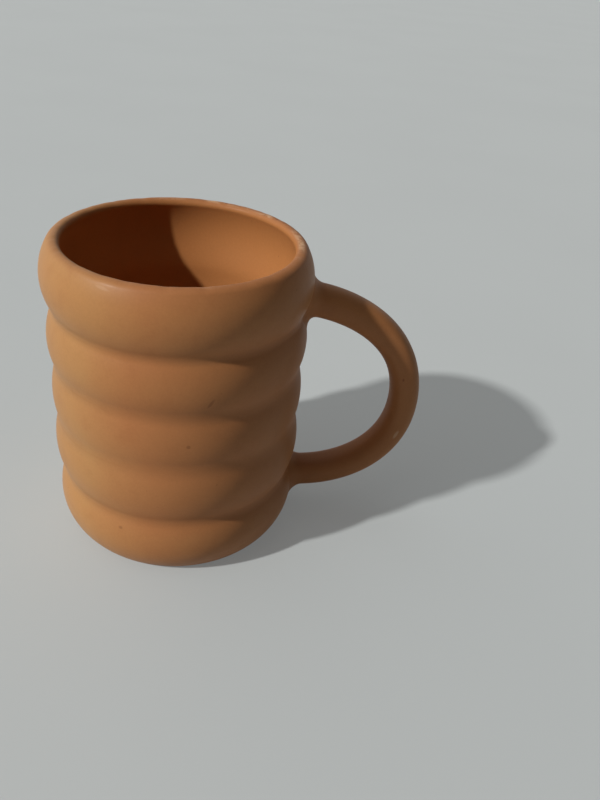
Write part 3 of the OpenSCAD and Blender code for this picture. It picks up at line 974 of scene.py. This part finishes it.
# plain pale floor, a key from the left, a wide soft sky over it and a low even fill; metres
studio = {
    "floorSize": 8.0,
    "floorColour": (0.450, 0.484, 0.491, 1),
    "floorMottle": (0.439, 0.472, 0.479, 1),
    "mottleNoise": (0.16, 3.0, 0.5),      # size, detail, roughness
    "mottleStep": (0.3, 0.7),
    "floorRough": 0.85,
    "floorPale": (0.97, 1.0, 0.99, 1),    # mixed into what is seen directly, it lifts the shadow
    "floorPaleShare": 0.145,
    "keyFrom": (-0.917, -0.399, 36.0),    # bearing across the floor, rise in degrees
    "keyAngle": 2.5,
    "keyStrength": 2.95,
    "keyColour": (1.0, 0.975, 0.94),
    "skyFrom": (-0.88, 0.47, 52.0),
    "skyAngle": 90.0,
    "skyStrength": 0.7,
    "skyColour": (1.0, 0.985, 0.965),
    "fill": 0.03,
    "fillColour": (1.0, 0.985, 0.965, 1),
    "backColour": (0.47, 0.475, 0.465, 1),
    "cameraPlace": (0.0, -0.20657, 0.1724),
    "pitch": 0.5591,                      # radians, as are yaw and roll
    "yaw": 0.1858,
    "roll": 0.105,
    "lens": 34.19,
    "sensor": 36.0,
    "nearest": 0.01,
}


# 1 for what the camera sees directly, in a gloss or through glass, 0 for what lights the mug
def seenDirectly(tree):
    path = put(tree, "ShaderNodeLightPath").outputs
    mirrored = calc(tree, "MAXIMUM", path["Is Glossy Ray"], path["Is Transmission Ray"])
    return calc(tree, "MAXIMUM", path["Is Camera Ray"], mirrored)


# square floor with a faint mottle, and a share of plain pale for what is seen directly
def layFloor():
    half = studio["floorSize"] / 2
    corners = [(-half, -half, 0), (half, -half, 0), (half, half, 0), (-half, half, 0)]
    mesh = bpy.data.meshes.new("floor")
    mesh.from_pydata(corners, [], [(0, 1, 2, 3)])
    floor = bpy.data.objects.new("floor", mesh)
    bpy.context.scene.collection.objects.link(floor)
    material = bpy.data.materials.new("paleFloor")
    material.use_nodes = True
    tree = material.node_tree
    vector = put(tree, "ShaderNodeTexCoord").outputs["Object"]
    mottle = ease(tree, noise(tree, vector, *studio["mottleNoise"]), *studio["mottleStep"])
    colour = blendColour(tree, mottle, studio["floorColour"], studio["floorMottle"])
    matt = fill(tree, tree.nodes["Principled BSDF"],
                {"Base Color": colour, "Roughness": studio["floorRough"]})
    pale = put(tree, "ShaderNodeEmission", {"Color": studio["floorPale"], "Strength": 1.0})
    share = times(tree, seenDirectly(tree), studio["floorPaleShare"])
    mixed = put(tree, "ShaderNodeMixShader", {0: share, 1: matt.outputs[0], 2: pale.outputs[0]})
    fill(tree, tree.nodes["Material Output"], {"Surface": mixed.outputs[0]})
    mesh.materials.append(material)


# distant lamp shining from a bearing and a rise, its softness the angle it fills
def hangLamp(name):
    x, y, rise = studio[name + "From"]
    rise = math.radians(rise)
    way = Vector((x, y, 0)).normalized() * math.cos(rise) + Vector((0, 0, math.sin(rise)))
    light = bpy.data.lights.new(name + "Lamp", "SUN")
    light.angle = math.radians(studio[name + "Angle"])
    light.energy = studio[name + "Strength"]
    light.color = studio[name + "Colour"]
    lamp = bpy.data.objects.new(name + "Lamp", light)
    lamp.location = way
    lamp.rotation_mode = "QUATERNION"
    lamp.rotation_quaternion = (-way).to_track_quat("-Z", "Y")
    bpy.context.scene.collection.objects.link(lamp)


# even fill all round, and a pale background for what is seen directly or in a gloss
def fillWorld():
    world = bpy.data.worlds.new("evenFill")
    bpy.context.scene.world = world
    world.use_nodes = True
    tree = world.node_tree
    tree.nodes.clear()
    even = put(tree, "ShaderNodeBackground",
               {"Color": studio["fillColour"], "Strength": studio["fill"]}).outputs[0]
    back = put(tree, "ShaderNodeBackground", {"Color": studio["backColour"], "Strength": 1.0}).outputs[0]
    mixed = put(tree, "ShaderNodeMixShader", {0: seenDirectly(tree), 1: even, 2: back})
    put(tree, "ShaderNodeOutputWorld", {"Surface": mixed.outputs[0]})


# camera axes from its pitch, yaw and roll: forward, then right and up turned by the roll
def setCamera():
    pitch, yaw, roll = studio["pitch"], studio["yaw"], studio["roll"]
    level = math.cos(pitch)
    forward = Vector((math.sin(yaw) * level, math.cos(yaw) * level, -math.sin(pitch)))
    right = Vector((math.cos(yaw), -math.sin(yaw), 0))
    up = right.cross(forward)
    rolledRight = right * math.cos(roll) + up * math.sin(roll)
    rolledUp = up * math.cos(roll) - right * math.sin(roll)
    data = bpy.data.cameras.new("camera")
    data.lens = studio["lens"]
    data.sensor_width = studio["sensor"]
    data.clip_start = studio["nearest"]
    camera = bpy.data.objects.new("camera", data)
    axes = Matrix((rolledRight, rolledUp, -forward)).transposed().to_4x4()
    camera.matrix_world = Matrix.Translation(studio["cameraPlace"]) @ axes
    bpy.context.scene.collection.objects.link(camera)
    bpy.context.scene.camera = camera


layFloor()
hangLamp("key")
hangLamp("sky")
fillWorld()
setCamera()
bpy.context.scene.view_settings.view_transform = "Standard"
print("studio set")
